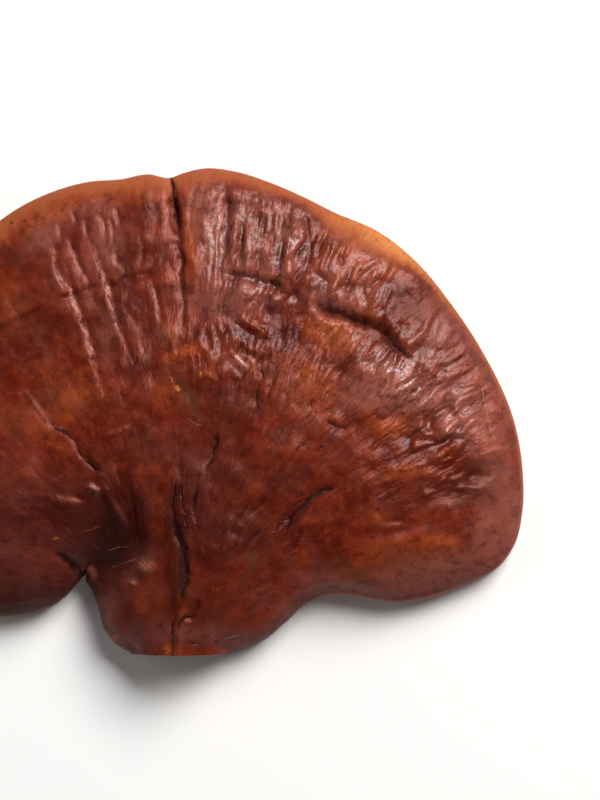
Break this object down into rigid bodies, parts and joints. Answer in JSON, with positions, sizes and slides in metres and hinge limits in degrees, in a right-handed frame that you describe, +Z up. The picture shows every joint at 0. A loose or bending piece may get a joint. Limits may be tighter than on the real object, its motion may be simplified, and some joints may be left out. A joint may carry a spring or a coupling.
{
  "type": "reishi mushroom",
  "caption": "Dried bracket mushroom with a kidney-shaped wrinkled crust, a blunt growing edge, a short stub cut off flat and a flat pore face to lie on.",
  "frame": {"origin": "middle of the bounding box's base, on the plane of the pore face", "axes": "+X across the cap to the larger lobe, +Y from the cut stub to the growing edge, +Z up through the crust"},
  "size_m": [0.1902, 0.1402, 0.0252],
  "materials": {
    "crust": "lacquered red-brown crust, satin to glossy, with an orange growing edge and a tan pore face"
  },
  "bodies": {
    "root": {"mushroom": "crust"}
  },
  "joints": []
}
